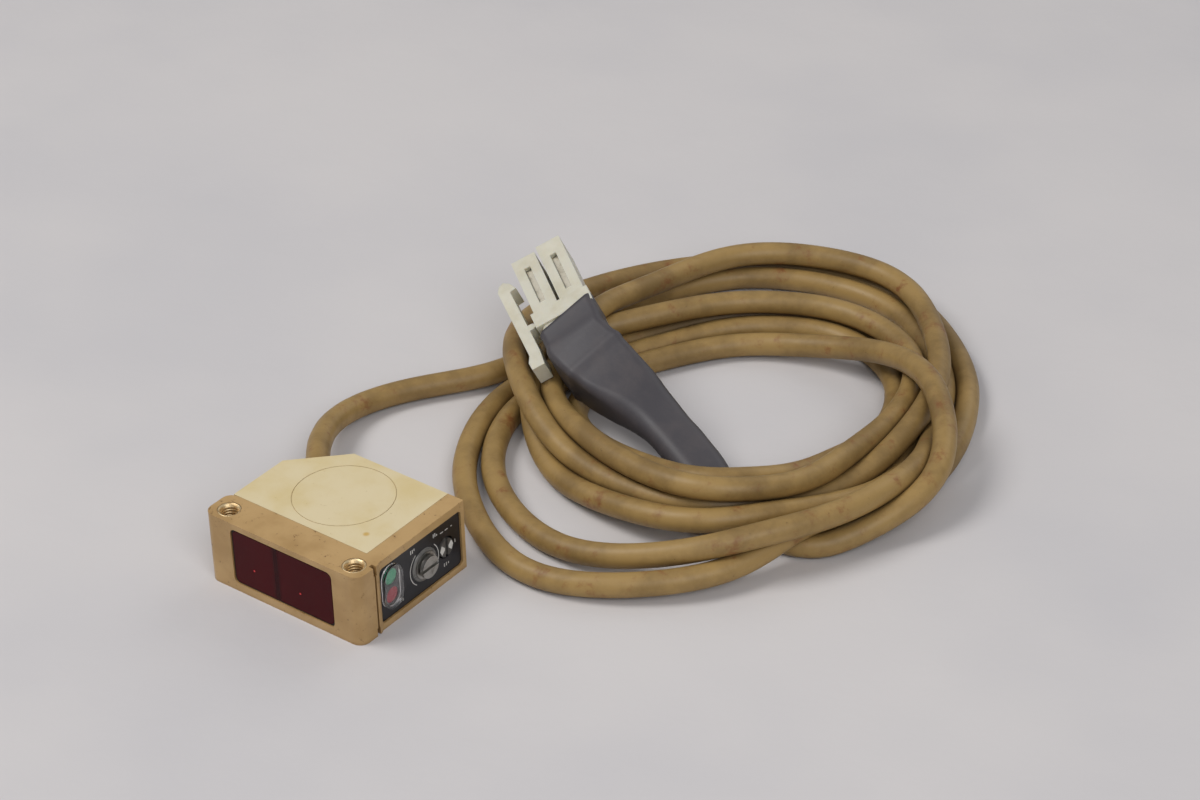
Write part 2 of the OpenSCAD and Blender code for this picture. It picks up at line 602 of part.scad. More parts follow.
module plug_contacts() {
    color("#c9c4b4") plug_frame() for (s = [-1, 1], v = [-1, 1])
        translate([4.02, s * (cell_w + 0.5) / 2, v * (cell_h + 0.5) / 2]) difference() {
            translate([0, -cell_w / 2 + 0.85, -cell_h / 2 + 0.85]) cube([plug_l - 6.5, cell_w - 1.7, cell_h - 1.7]);
            translate([2, -cell_w / 2 + 1.1, -cell_h / 2 + 1.1]) cube([plug_l, cell_w - 2.2, cell_h - 2.2]);
        }
}

case_body();
side_cover();
mounting_sleeves();
filter_window();
window_gasket();
emitter_lens();
receiver_lens();
optics_holder();
light_baffle();
emitter_led();
receiver_photodiode();
main_circuit_board();
control_chip();
board_components();
board_header();
panel_circuit_board();
control_panel();
panel_gasket();
indicator_lens();
stability_led();
output_led();
adjuster_knob();
adjuster_seal();
trimmer_potentiometer();
mode_selector();
selector_seal();
mode_switch();
cable_bush();
cable_clamp();
core_wires();
wire_terminal();
cable_lead();
cable_coil();
shrink_sleeve();
plug_housing();
plug_latch();
plug_contacts();
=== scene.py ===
# A compact photoelectric proximity sensor, its loosely coiled cable, shrink sleeve and nylon plug.
# Places and lengths are in millimetres in the tables, and in metres once they carry MM.
import math
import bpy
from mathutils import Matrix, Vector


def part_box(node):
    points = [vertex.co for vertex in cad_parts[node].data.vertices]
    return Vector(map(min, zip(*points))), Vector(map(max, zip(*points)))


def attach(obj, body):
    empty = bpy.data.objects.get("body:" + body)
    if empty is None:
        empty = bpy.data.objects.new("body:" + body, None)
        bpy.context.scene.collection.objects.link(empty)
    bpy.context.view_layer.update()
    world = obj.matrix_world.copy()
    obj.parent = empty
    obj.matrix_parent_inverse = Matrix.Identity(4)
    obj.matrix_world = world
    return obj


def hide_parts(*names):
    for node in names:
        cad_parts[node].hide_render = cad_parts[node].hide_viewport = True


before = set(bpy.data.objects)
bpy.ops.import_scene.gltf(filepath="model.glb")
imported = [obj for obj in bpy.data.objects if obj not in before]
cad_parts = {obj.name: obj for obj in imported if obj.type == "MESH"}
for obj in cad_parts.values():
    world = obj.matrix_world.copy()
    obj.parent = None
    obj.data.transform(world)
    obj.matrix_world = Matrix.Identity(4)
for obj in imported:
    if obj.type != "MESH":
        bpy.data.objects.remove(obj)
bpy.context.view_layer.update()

import bmesh
import bpy
import numpy as np
from mathutils import Matrix, Vector, noise

MM = 0.001
FULL_TURN = 2 * math.pi
scene = bpy.context.scene

# ---------------------------------------------------------------- camera
EYE = Vector((275.3, -288.4, 289.7)) * MM
LOOKS_AT = Vector((3.35, 62.96, 0)) * MM
ROLL = math.radians(-1.42)
LENS = 94.0
NEAREST = 0.01                  # the lens sees nothing closer than this, in metres


def facing(eye, target, roll=0.0):
    """Rotation of a camera or lamp at eye that looks at target."""
    back = (eye - target).normalized()
    right = Vector((0, 0, 1)).cross(back).normalized()
    up = back.cross(right)
    tilted_right = math.cos(roll) * right + math.sin(roll) * up
    tilted_up = back.cross(tilted_right)
    return Matrix((tilted_right, tilted_up, back)).transposed().to_4x4()


camera = bpy.data.objects.new("camera", bpy.data.cameras.new("camera"))
camera.data.lens = LENS
camera.data.clip_start = NEAREST
camera.matrix_world = Matrix.Translation(EYE) @ facing(EYE, LOOKS_AT, ROLL)
scene.collection.objects.link(camera)
scene.camera = camera

# ---------------------------------------------------------------- places taken from the frame
SENSOR, SELECTOR = "sensor", "selector"         # bodies
case_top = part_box("case_body")[1].z
window_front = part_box("filter_window")[0].y
panel_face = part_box("control_panel")[1].x
rotor_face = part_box("mode_selector")[1].x

# ---------------------------------------------------------------- the cable's route
CABLE_D = 4.0
# From the middle of the bevel to the coil's start, on the table from (-25.5, 40.2) on
LEAD = [(-11.2, 8.75, 6.4), (-14.2, 11.75, 6.4), (-18.6, 16, 6), (-22.2, 20.7, 5.1), (-25.2, 26, 4),
        (-26.7, 31.2, 3), (-26.8, 36, 2.2), (-25.5, 40.2, 2), (-23, 44.5, 2), (-20, 48.3, 2),
        (-16.2, 52.7, 2), (-12.9, 57.5, 2)]
# Each turn is a row of (radius, height) every 30 degrees, going round clockwise from the left
COIL_CENTRE = (26.5, 66.5)
COIL_TURNS = [
    [(37, 2), (29.5, 5.5), (33, 5.5), (36.5, 5.5), (35.5, 5.5), (29, 5.5),
     (25.2, 5.5), (28.2, 6.5), (31, 9), (26.5, 8), (26, 7.5), (29.5, 6)],
    [(31.5, 5), (36.5, 5.5), (49, 6), (51, 5.5), (40, 6), (33, 5.5),
     (28.7, 2.5), (26.7, 2.5), (30, 5.5), (27.5, 4.5), (29, 5), (33, 7.5)],
    [(42, 6), (49.5, 2), (52, 2), (51.5, 2), (43.5, 2), (38, 2),
     (35.5, 2), (34.5, 3), (44.8, 3.5), (52, 2), (46, 2), (39.5, 2)],
    [(33.5, 2), (31, 2), (35, 2), (38.5, 2), (36.5, 2), (31, 2),
     (32.2, 2), (31.2, 3.5), (34.5, 5.5), (31.5, 4), (31, 2), (32.5, 4)],
    [(37, 6), (41, 2), (48, 2), (48.5, 2), (41, 2), (35, 2),
     (37.5, 5), (38.8, 5.5), (41.8, 4.5), (44, 2), (41, 2), (36, 2)],
    [(29.5, 2), (27, 2), (31, 2), (34.5, 2), (32.5, 2), (27, 2),
     (22.2, 3.5), (24.2, 5.5), (27.5, 8.5), (22.5, 6), (23, 4.5), (25.5, 2.5)],
    [(25.5, 2), (23, 2), (25, 2), (27, 3), (30.5, 6.5), (35, 9), (40.3, 7.5), (38, 3)]]
# From the last turn up into the sleeve
TAIL = [(56.5, 44.8, 2.1), (50.5, 43.9, 2.2), (45.5, 45.2, 2.6), (41, 46.6, 3.4), (35.5, 48.3, 4.6)]

PLUG_AT = Vector((-0.7, 61.2, 14.2)) * MM
PLUG_ROLL = math.radians(-25)
PLUG_TURN = (Matrix.Rotation(math.radians(146), 4, "Z") @ Matrix.Rotation(math.radians(-13), 4, "Y")
             @ Matrix.Rotation(PLUG_ROLL, 4, "X"))
PLUG = Matrix.Translation(PLUG_AT) @ PLUG_TURN
PLUG_W, PLUG_H = 9.4, 7.4
TAIL_L = 7.0                    # how much of the plug the sleeve covers
SLEEVE_MOUTH = 0.4              # how far behind the plug's shoulder the sleeve begins
SLEEVE = [(12.7, 55.9, 10.4), (22.2, 54.1, 8), (31.5, 50.8, 5.8), (41, 46.6, 3.4)]


def from_plug(x, y, z):
    """A place on the plug, in mm along it, across it and up from it, as a place in the scene in mm."""
    return tuple(PLUG @ (Vector((x, y, z)) * MM) / MM)


SPAN_STEPS = 20                 # fine steps between two given points of a curve
SPREAD = np.array([0.45, 0.45, 1.3])        # strands climb over each other sooner than they spread
OWN_STRAND = 9                  # points this near along the cable belong to the same strand
HELD_AT_START, HELD_AT_END = 14, 10         # points that the sensor and the sleeve hold
EASE = 0.6                      # share of a push that one round carries out
SETTLE_ROUNDS, LAST_ROUNDS = 70, 25
STIFFNESS_PASSES = 10           # a stiff jacket takes up no sharp wave
SHARING_PASSES = 3              # each round's shift is shared out along the strand
COARSE_MM, FINE_MM = 2.0, 1.5   # spacing of the route's points while it settles, and at the end
TINY = 1e-6                     # keeps a distance of nothing out of a division
# Rows of balls that stand for the sleeve, the plug and its lever, in mm
SLEEVE_SHARES, SLEEVE_RADII = (0, 0.3, 0.55, 1), (5.2, 5.2, 3.0, 2.6)
SLEEVE_ROWS = (-1.8, 0, 1.8)    # three rows side by side
SLEEVE_END = 8                  # points at its end that the cable itself runs into
PLUG_BALLS, PLUG_BALL_R = [(x, y, 0) for x in range(0, 17, 3) for y in (-2, 2)], 3.6
LEVER_BALLS, LEVER_BALL_R = [(x, 7.6, 0.9) for x in range(-7, 14, 3)], 2.1


def curve_through(points, spacing):
    """Evenly spaced points on one smooth curve through the given ones."""
    p = np.array(points, float)
    p = np.vstack([2 * p[0] - p[1], p, 2 * p[-1] - p[-2]])
    fine = []
    for i in range(1, len(p) - 2):
        a, b, c, d = p[i - 1:i + 3]
        for f in np.arange(0, 1, 1 / SPAN_STEPS):
            fine.append(0.5 * (2 * b + (c - a) * f + (2 * a - 5 * b + 4 * c - d) * f ** 2
                               + (3 * b - 3 * c + d - a) * f ** 3))
    fine = np.array(fine + [p[-2]])
    along = np.concatenate([[0], np.cumsum(np.linalg.norm(np.diff(fine, axis=0), axis=1))])
    even = np.linspace(0, along[-1], int(along[-1] / spacing) + 1)
    return np.stack([np.interp(even, along, fine[:, k]) for k in range(3)], axis=1)


def cable_points():
    """The given points from the bevel through the coil to the sleeve."""
    points = list(LEAD)
    for turn in COIL_TURNS:
        for step, (radius, height) in enumerate(turn):
            angle = math.radians(180 - 30 * step)
            points.append((COIL_CENTRE[0] + radius * math.cos(angle),
                           COIL_CENTRE[1] + radius * math.sin(angle), height))
    return points + TAIL


def smooth_out(values):
    """Draws each point halfway to the middle of its neighbours, in place; the ends stay."""
    values[1:-1] = 0.5 * values[1:-1] + 0.25 * (values[:-2] + values[2:])


def obstacles(sleeve_axis):
    """Balls (x, y, z, radius) that fill the sleeve, the plug and its lever."""
    share = np.linspace(0, 1, len(sleeve_axis))
    thick = np.interp(share, SLEEVE_SHARES, SLEEVE_RADII)
    across = np.cross(np.gradient(sleeve_axis, axis=0), (0, 0, 1))
    across /= np.linalg.norm(across, axis=1)[:, None]
    balls = [np.column_stack([sleeve_axis + across * off, thick])[:-SLEEVE_END] for off in SLEEVE_ROWS]
    balls += [[from_plug(*place) + (PLUG_BALL_R,)] for place in PLUG_BALLS]
    balls += [[from_plug(*place) + (LEVER_BALL_R,)] for place in LEVER_BALLS]
    return np.vstack(balls)


def settle(path, balls, rounds):
    """Lets the strands rest on each other: where two lie closer than a diameter, they part."""
    start = path.copy()
    order = np.arange(len(path))
    another = np.abs(order[:, None] - order[None, :]) > OWN_STRAND
    free = np.ones(len(path))
    free[:HELD_AT_START] = 0
    free[-HELD_AT_END:] = 0
    for _ in range(rounds):
        gap = path[:, None, :] - path[None, :, :]
        dist = np.linalg.norm(gap, axis=2) + TINY
        short = np.where(another & (dist < CABLE_D), CABLE_D - dist, 0)
        push = (gap / dist[:, :, None] * short[:, :, None] * 0.5)       # half for each strand
        push = push.sum(axis=1) / np.maximum(1, (short > 0).sum(axis=1))[:, None]
        push *= SPREAD
        away = path[:, None, :] - balls[None, :, :3]
        reach = np.linalg.norm(away, axis=2) + TINY
        clear = balls[None, :, 3] + CABLE_D / 2
        inside = np.where(reach < clear, clear - reach, 0)
        deepest = inside.argmax(axis=1)
        push += away[order, deepest] / reach[order, deepest][:, None] * inside[order, deepest][:, None]
        moved = path + push * free[:, None] * EASE - start
        for _ in range(SHARING_PASSES):
            smooth_out(moved)
        path = start + moved * free[:, None]
        path[:, 2] = np.maximum(path[:, 2], CABLE_D / 2)
    return path


# ---------------------------------------------------------------- materials
NOISE, MIX, RANGE = "ShaderNodeTexNoise", "ShaderNodeMix", "ShaderNodeMapRange"
MATH, VECTOR_MATH = "ShaderNodeMath", "ShaderNodeVectorMath"
NEARBY, BUMP = "ShaderNodeAmbientOcclusion", "ShaderNodeBump"
SHARE, UNDER, OVER, MIXED = 0, 6, 7, 2      # the sockets of a colour mix
PER_M = 1000                    # over a pattern's size in mm, its scale
NEARBY_SAMPLES = 8


def paint(code):
    """sRGB hex to a linear colour."""
    channels = [int(code[i:i + 2], 16) / 255 for i in (1, 3, 5)]
    return [c / 12.92 if c <= 0.04045 else ((c + 0.055) / 1.055) ** 2.4 for c in channels] + [1]


def add(tree, kind, output, inputs, **settings):
    """Adds a node with its settings and links, and hands back the output asked for."""
    node = tree.nodes.new(kind)
    for key, value in settings.items():
        setattr(node, key, value)
    for socket, value in inputs.items():
        target = node.inputs[socket]
        if isinstance(value, bpy.types.NodeSocket):
            tree.links.new(value, target)
        else:
            target.default_value = paint(value) if isinstance(value, str) else value
    return node.outputs[output]


def start_material(name, **shader):
    """A material with its shader's own values set, its tree, its shader and the place on the object."""
    mat = bpy.data.materials.new(name)
    mat.use_nodes = True
    tree = mat.node_tree
    bsdf = tree.nodes["Principled BSDF"]
    for key, value in shader.items():
        bsdf.inputs[key.replace("_", " ")].default_value = value
    return mat, tree, bsdf, add(tree, "ShaderNodeTexCoord", "Object", {})


def cover_where(tree, pattern, low, high, under, over):
    """Lays one colour over another as the pattern's value goes from low to high."""
    share = add(tree, RANGE, "Result", {"Value": pattern, "From Min": low, "From Max": high},
                interpolation_type="SMOOTHSTEP")
    return add(tree, MIX, MIXED, {SHARE: share, UNDER: under, OVER: over}, data_type="RGBA")


def paint_corner_shade(tree, reach_mm, open_at, closed_at, strength, under, painted_shade):
    """Paints shade where surfaces meet: grooves, seams and the gaps between strands."""
    openness = add(tree, NEARBY, "AO", {"Distance": reach_mm * MM}, samples=NEARBY_SAMPLES)
    share = add(tree, RANGE, "Result", {"Value": openness, "From Min": open_at, "From Max": closed_at},
                interpolation_type="SMOOTHSTEP")
    weak = add(tree, MATH, 0, {0: share, 1: strength}, operation="MULTIPLY")
    return add(tree, MIX, MIXED, {SHARE: weak, UNDER: under, OVER: painted_shade}, data_type="RGBA")


def finish(tree, bsdf, shade, pattern, smooth, rough, *bumps):
    """Wires the colour, a gloss that follows a pattern, and bumps of a (height, depth in mm) each."""
    gloss = add(tree, RANGE, "Result", {"Value": pattern, "To Min": smooth, "To Max": rough})
    links = {"Base Color": shade, "Roughness": gloss}
    for height, depth in bumps:
        inputs = {"Height": height, "Distance": depth * MM, "Strength": 1.0}
        if "Normal" in links:
            inputs["Normal"] = links["Normal"]
        links["Normal"] = add(tree, BUMP, "Normal", inputs)
    for socket, value in links.items():
        tree.links.new(value, bsdf.inputs[socket])


def aged_plastic(name, colour, tone, grime_and_shade, gloss, stain=None, crease=1.5, speck_level=0.64):
    """Moulded ABS or PVC, yellowed and handled: soft cloudy colour, specks, and painted shade in the seams.
    """
    mat, tree, bsdf, place = start_material(name, Specular_IOR_Level=0.45, IOR=1.53)
    clouds = add(tree, NOISE, "Fac", {"Vector": place, "Scale": PER_M / 9, "Detail": 4, "Roughness": 0.6})
    specks = add(tree, NOISE, "Fac", {"Vector": place, "Scale": PER_M / 1.1, "Detail": 5, "Roughness": 0.75})
    shade = cover_where(tree, clouds, 0.35, 0.7, colour, tone)
    shade = cover_where(tree, specks, speck_level, speck_level + 0.1, shade, grime_and_shade)
    # Painted shade: the grime colour also darkens the seams and corners.
    shade = paint_corner_shade(tree, crease, 0.75, 0.25, 0.75, shade, grime_and_shade)
    if stain:
        spot, radius, hue = stain
        reach = add(tree, VECTOR_MATH, "Value", {0: place, 1: spot}, operation="DISTANCE")
        edge = add(tree, MATH, 0, {0: clouds, 1: radius, 2: reach}, operation="MULTIPLY_ADD")
        shade = cover_where(tree, edge, radius * 1.5, radius * 0.7, shade, hue)
    handled = add(tree, NOISE, "Fac", {"Vector": place, "Scale": PER_M / 3, "Detail": 3})
    grain = add(tree, NOISE, "Fac", {"Vector": place, "Scale": PER_M / 0.35, "Detail": 3})
    finish(tree, bsdf, shade, handled, gloss - 0.08, gloss + 0.12, (grain, 0.012), (clouds, 0.06))
    return mat


def cable_jacket():
    """Extruded PVC, olive tan and greasy with age: darker handled patches, rusty smears, fine scuffs."""
    mat, tree, bsdf, place = start_material("pvc_jacket", Specular_IOR_Level=0.4, IOR=1.53)
    patches = add(tree, NOISE, "Fac", {"Vector": place, "Scale": PER_M / 14, "Detail": 5, "Roughness": 0.65})
    rusty = add(tree, NOISE, "Fac", {"Vector": place, "Scale": PER_M / 4.5, "Detail": 4, "Roughness": 0.7})
    specks = add(tree, NOISE, "Fac", {"Vector": place, "Scale": PER_M / 0.9, "Detail": 4, "Roughness": 0.8})
    scuffs = add(tree, NOISE, "Fac", {"Vector": place, "Scale": PER_M / 0.5, "Detail": 4})
    shade = cover_where(tree, patches, 0.38, 0.66, "#A2844F", "#82683C")
    shade = cover_where(tree, rusty, 0.55, 0.8, shade, "#7E4A26")
    shade = cover_where(tree, specks, 0.66, 0.75, shade, "#5E4527")
    # Painted shade: darker in the gaps between strands, where they shade each other.
    shade = paint_corner_shade(tree, 2.2, 0.7, 0.2, 0.5, shade, "#4E3A22")
    finish(tree, bsdf, shade, patches, 0.36, 0.62, (scuffs, 0.02), (rusty, 0.05))
    return mat


def shrink_tube():
    """Heat-shrunk polyolefin: slate grey, half matt, dusty, with small pits and scuffs."""
    mat, tree, bsdf, place = start_material("polyolefin_shrink", Specular_IOR_Level=0.5, IOR=1.5)
    dust = add(tree, NOISE, "Fac", {"Vector": place, "Scale": PER_M / 6, "Detail": 5, "Roughness": 0.7})
    marks = add(tree, NOISE, "Fac", {"Vector": place, "Scale": PER_M / 1.4, "Detail": 4, "Roughness": 0.7})
    grain = add(tree, NOISE, "Fac", {"Vector": place, "Scale": PER_M / 0.4, "Detail": 3})
    shade = cover_where(tree, dust, 0.4, 0.72, "#454246", "#4E494B")
    shade = cover_where(tree, marks, 0.66, 0.78, shade, "#4A4346")
    finish(tree, bsdf, shade, dust, 0.42, 0.6, (marks, 0.03), (grain, 0.008))
    return mat


def natural_nylon(name, colour, tone):
    """Natural nylon 6/6, moulded: milky, lets light through at its edges, grey painted shade in the corners.
    """
    mat, tree, bsdf, place = start_material(
        name, IOR=1.53, Subsurface_Weight=0.5, Subsurface_Scale=0.6 * MM, Transmission_Weight=0.25,
        Subsurface_Radius=(1.0, 0.9, 0.7))
    flow = add(tree, NOISE, "Fac", {"Vector": place, "Scale": PER_M / 5, "Detail": 4, "Roughness": 0.6})
    grain = add(tree, NOISE, "Fac", {"Vector": place, "Scale": PER_M / 0.6, "Detail": 3})
    shade = cover_where(tree, flow, 0.4, 0.7, colour, tone)
    # Painted shade: grey in the plug's corners and seams.
    shade = paint_corner_shade(tree, 0.9, 0.6, 0.15, 0.45, shade, "#8E8468")
    finish(tree, bsdf, shade, flow, 0.28, 0.5, (grain, 0.01))
    return mat


DIVIDER_X = -1.6                # middle of the bar between the two lenses
# Painted highlights: where a bright red glint is painted on the window before each lens
PAINTED_GLINTS = ((-6.3, 5.2), (3.1, 4.9))          # across and up the window


def filter_acrylic():
    """Cast acrylic dyed dark red: glossy, near black, a darker bar between the two lenses behind it,
    a painted red glint before each of them, and fine dust."""
    mat, tree, bsdf, place = start_material(
        "dyed_acrylic", IOR=1.49, Transmission_Weight=0.15, Specular_IOR_Level=0.07)
    depth = add(tree, NOISE, "Fac", {"Vector": place, "Scale": PER_M / 12})
    shade = add(tree, MIX, MIXED, {SHARE: depth, UNDER: "#52080F", OVER: "#3E060B"}, data_type="RGBA")
    across = add(tree, "ShaderNodeSeparateXYZ", "X", {"Vector": place})
    from_bar = add(tree, MATH, 0, {0: across, 1: DIVIDER_X * MM}, operation="SUBTRACT")
    off_bar = add(tree, MATH, 0, {0: from_bar}, operation="ABSOLUTE")
    shade = cover_where(tree, off_bar, 1.1 * MM, 0.1 * MM, shade, "#33060B")
    # Painted highlights: a small bright red spot before each lens stands in for a reflection.
    for x, z in PAINTED_GLINTS:
        glint = (x * MM, window_front, z * MM)
        reach = add(tree, VECTOR_MATH, "Value", {0: place, 1: glint}, operation="DISTANCE")
        shade = cover_where(tree, reach, 0.22 * MM, 0.1 * MM, shade, "#FF5050")
    dust = add(tree, NOISE, "Fac", {"Vector": place, "Scale": PER_M / 0.4, "Detail": 4, "Roughness": 0.8})
    flatness = add(tree, NOISE, "Fac", {"Vector": place, "Scale": PER_M / 2.5})
    shade = cover_where(tree, dust, 0.68, 0.8, shade, "#7C2A30")
    finish(tree, bsdf, shade, dust, 0.05, 0.22, (flatness, 0.004))
    return mat


def clear_plastic(name, colour, gloss, clearness):
    """Clear moulded polycarbonate or acrylic with the light haze of old parts."""
    mat, tree, bsdf, place = start_material(name, IOR=1.58, Transmission_Weight=clearness)
    haze = add(tree, NOISE, "Fac", {"Vector": place, "Scale": PER_M / 0.8, "Detail": 4, "Roughness": 0.7})
    flatness = add(tree, NOISE, "Fac", {"Vector": place, "Scale": PER_M / 1.5})
    shade = cover_where(tree, haze, 0.6, 0.8, colour, "#B9B6AC")
    finish(tree, bsdf, shade, haze, gloss, gloss + 0.18, (flatness, 0.003))
    return mat


def plain_plastic(name, colour, tone, gloss, grain_mm=0.3, depth=0.008, **shader):
    """Fine-textured moulded plastic, rubber or ink, in two close tones."""
    mat, tree, bsdf, place = start_material(name, IOR=1.5, **shader)
    flow = add(tree, NOISE, "Fac", {"Vector": place, "Scale": PER_M / 2.2, "Detail": 4, "Roughness": 0.65})
    grain = add(tree, NOISE, "Fac", {"Vector": place, "Scale": PER_M / grain_mm, "Detail": 3})
    shade = cover_where(tree, flow, 0.4, 0.7, colour, tone)
    finish(tree, bsdf, shade, flow, gloss - 0.06, gloss + 0.12, (grain, depth))
    return mat


def turned_metal(name, colour, tarnish, gloss):
    """Turned and plated metal, dulled with a film, with tool marks just felt."""
    mat, tree, bsdf, place = start_material(name, Metallic=1.0)
    film = add(tree, NOISE, "Fac", {"Vector": place, "Scale": PER_M / 1.2, "Detail": 5, "Roughness": 0.7})
    tool_marks = add(tree, NOISE, "Fac", {"Vector": place, "Scale": PER_M / 0.15})
    shade = cover_where(tree, film, 0.45, 0.75, colour, tarnish)
    finish(tree, bsdf, shade, film, gloss, gloss + 0.25, (tool_marks, 0.004))
    return mat


def circuit_board():
    """Glass-epoxy laminate under green solder mask, with the weave just showing."""
    mat, tree, bsdf, place = start_material("green_laminate", IOR=1.55)
    weave = add(tree, "ShaderNodeTexChecker", "Fac", {"Vector": place, "Scale": PER_M / 0.6})
    mottle = add(tree, NOISE, "Fac", {"Vector": place, "Scale": PER_M / 4, "Detail": 3})
    shade = add(tree, MIX, MIXED, {SHARE: weave, UNDER: "#2F5C3A", OVER: "#356642"}, data_type="RGBA")
    shade = cover_where(tree, mottle, 0.4, 0.8, shade, "#27502F")
    finish(tree, bsdf, shade, mottle, 0.28, 0.45, (weave, 0.004))
    return mat


def glow(code):
    """Painted light: a faint glow on a coloured lamp body, standing in for the light that falls on it."""
    return {"Emission_Color": paint(code), "Emission_Strength": 0.3}


STAIN = (8.6 * MM, -2.8 * MM, case_top)
# In each aged plastic the third colour is both its specks and the painted shade in its seams
M = {
    "case": aged_plastic("abs_tan", "#BD9B69", "#A98756", "#6E4E2A", 0.38, speck_level=0.6),
    "cover": aged_plastic("abs_cream", "#DDCDA6", "#D6C290", "#BDA576", 0.46,
                          stain=(STAIN, 0.7 * MM, "#CBA861"), crease=0.22),
    "jacket": cable_jacket(),
    "shrink": shrink_tube(),
    "nylon": natural_nylon("nylon_natural", "#EAE6D4", "#DED8C0"),
    "filter": filter_acrylic(),
    "lens": clear_plastic("lens_acrylic", "#F2EFE8", 0.05, 0.9),
    "dome": clear_plastic("dome_polycarbonate", "#FFFFFF", 0.03, 1.0),
    "panel": plain_plastic("panel_black", "#17161A", "#201F23", 0.3),
    "seal": plain_plastic("nitrile_rubber", "#1A1613", "#241E19", 0.6, 0.2, 0.015),
    "black": plain_plastic("black_polycarbonate", "#1F1D1C", "#2A2725", 0.55),
    "chip": plain_plastic("epoxy_black", "#232326", "#2D2C2E", 0.5, 0.15, 0.01),
    # Painted light: both lamp bodies carry a faint glow that stands in for light falling on them.
    "green_lamp": plain_plastic("green_epoxy_painted_glow", "#12805A", "#1C946B", 0.16, **glow("#178A62")),
    "red_lamp": plain_plastic("red_epoxy_painted_glow", "#8E1429", "#A31F36", 0.16, **glow("#961428")),
    "diode": plain_plastic("smoked_epoxy", "#2A2422", "#352D2A", 0.2),
    "board": circuit_board(),
    "parts": plain_plastic("ceramic_tan", "#9B865C", "#B7A179", 0.5),
    "knob": turned_metal("knob_nickel", "#B5B3AE", "#8A867E", 0.28),
    "collar": plain_plastic("collar_grey", "#6B6966", "#7B7974", 0.25),
    "insert": turned_metal("insert_brass", "#EAD2A6", "#B8935F", 0.36),
    "tin": turned_metal("tin_plate", "#B9B4A6", "#8F8877", 0.3),
    "trimmer": plain_plastic("trimmer_blue", "#415684", "#4D6292", 0.45),
    "rotor": plain_plastic("rotor_grey", "#4B4946", "#5B5854", 0.3),
    "bush": aged_plastic("pvc_bush", "#94743F", "#846535", "#53401F", 0.5),
    "terminal": plain_plastic("nylon_block", "#E2DDCF", "#D4CEBD", 0.4),
    "print": plain_plastic("printing_ink", "#D8D6D0", "#C9C6BE", 0.6),
    "core": plain_plastic("core_brown", "#6E4327", "#7E5030", 0.4),
}

# ---------------------------------------------------------------- making pieces
FLAT_WITHIN = math.radians(0.6)             # facets this close to level become one face
SHARP_FROM = math.radians(28)               # edges at least this sharp are rounded
ROUND_STEPS = 3


def piece(name, bm, material, body=SENSOR, smooth=True):
    """Turns a finished bmesh into a piece that rides on a body."""
    mesh = bpy.data.meshes.new(name)
    bmesh.ops.recalc_face_normals(bm, faces=bm.faces)
    bm.to_mesh(mesh)
    bm.free()
    mesh.polygons.foreach_set("use_smooth", [smooth] * len(mesh.polygons))
    obj = bpy.data.objects.new(name, mesh)
    mesh.materials.append(M[material])
    scene.collection.objects.link(obj)
    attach(obj, body)
    return obj


def soften(node, material, radius):
    """Gives a CAD node its material and small rounded edges."""
    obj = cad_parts[node]
    obj.data.materials.clear()
    obj.data.materials.append(M[material])
    obj.data.polygons.foreach_set("use_smooth", [True] * len(obj.data.polygons))
    flat = obj.modifiers.new("flat_faces", "DECIMATE")
    flat.decimate_type = "DISSOLVE"
    flat.angle_limit = FLAT_WITHIN
    edge = obj.modifiers.new("edge_radius", "BEVEL")
    edge.width = radius * MM
    edge.segments = ROUND_STEPS
    edge.limit_method = "ANGLE"
    edge.angle_limit = SHARP_FROM
    edge.harden_normals = True
    edge.miter_outer = "MITER_ARC"
    even = obj.modifiers.new("even_shading", "WEIGHTED_NORMAL")
    even.keep_sharp = True


def ring_of(bm, points):
    return [bm.verts.new(p) for p in points]


def skin(bm, rings, close_start=False, close_end=False):
    """Faces between each ring of vertices and the next, and caps where asked."""
    for a, b in zip(rings, rings[1:]):
        for i in range(len(a)):
            j = (i + 1) % len(a)
            bm.faces.new((a[i], a[j], b[j], b[i]))
    if close_start:
        bm.faces.new(rings[0])
    if close_end:
        bm.faces.new(rings[-1])


# ---------------------------------------------------------------- cable
SLEEVE_STEP = 0.5               # spacing of the sleeve's rings
CABLE_ROUND = 7                 # how finely the cable's section is rounded


def build_cable(route):
    curve = bpy.data.curves.new("cable", "CURVE")
    curve.dimensions = "3D"
    curve.bevel_depth = CABLE_D / 2 * MM
    curve.bevel_resolution = CABLE_ROUND
    spline = curve.splines.new("POLY")
    spline.points.add(len(route) - 1)
    for point, place in zip(spline.points, route):
        point.co = (*(Vector(place) * MM), 1)
    spline.use_smooth = True
    cable = bpy.data.objects.new("cable", curve)
    curve.materials.append(M["jacket"])
    scene.collection.objects.link(cable)
    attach(cable, SENSOR)
    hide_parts("cable_lead", "cable_coil")
    return cable


on_plug = [from_plug(-x, 0, 0) for x in (SLEEVE_MOUTH, TAIL_L / 2, TAIL_L)]
axis = curve_through(on_plug + SLEEVE, SLEEVE_STEP)
keep_out = obstacles(axis)
route = settle(curve_through(cable_points(), COARSE_MM), keep_out, SETTLE_ROUNDS)
for _ in range(STIFFNESS_PASSES):
    smooth_out(route)
route = curve_through(settle(route, keep_out, LAST_ROUNDS), FINE_MM)
cable = build_cable(route)

# ---------------------------------------------------------------- floor and light
FLOOR_HALF = 1.6                # in metres, as are the lamps' places and sizes
FLOOR_CELLS = 8
CENTRE = (0.02, 0.05, 0.0)      # what the lamps face
SKY = (0.93, 0.95, 1.0, 1)      # a faint cool fill from all round
SKY_STRENGTH = 0.26


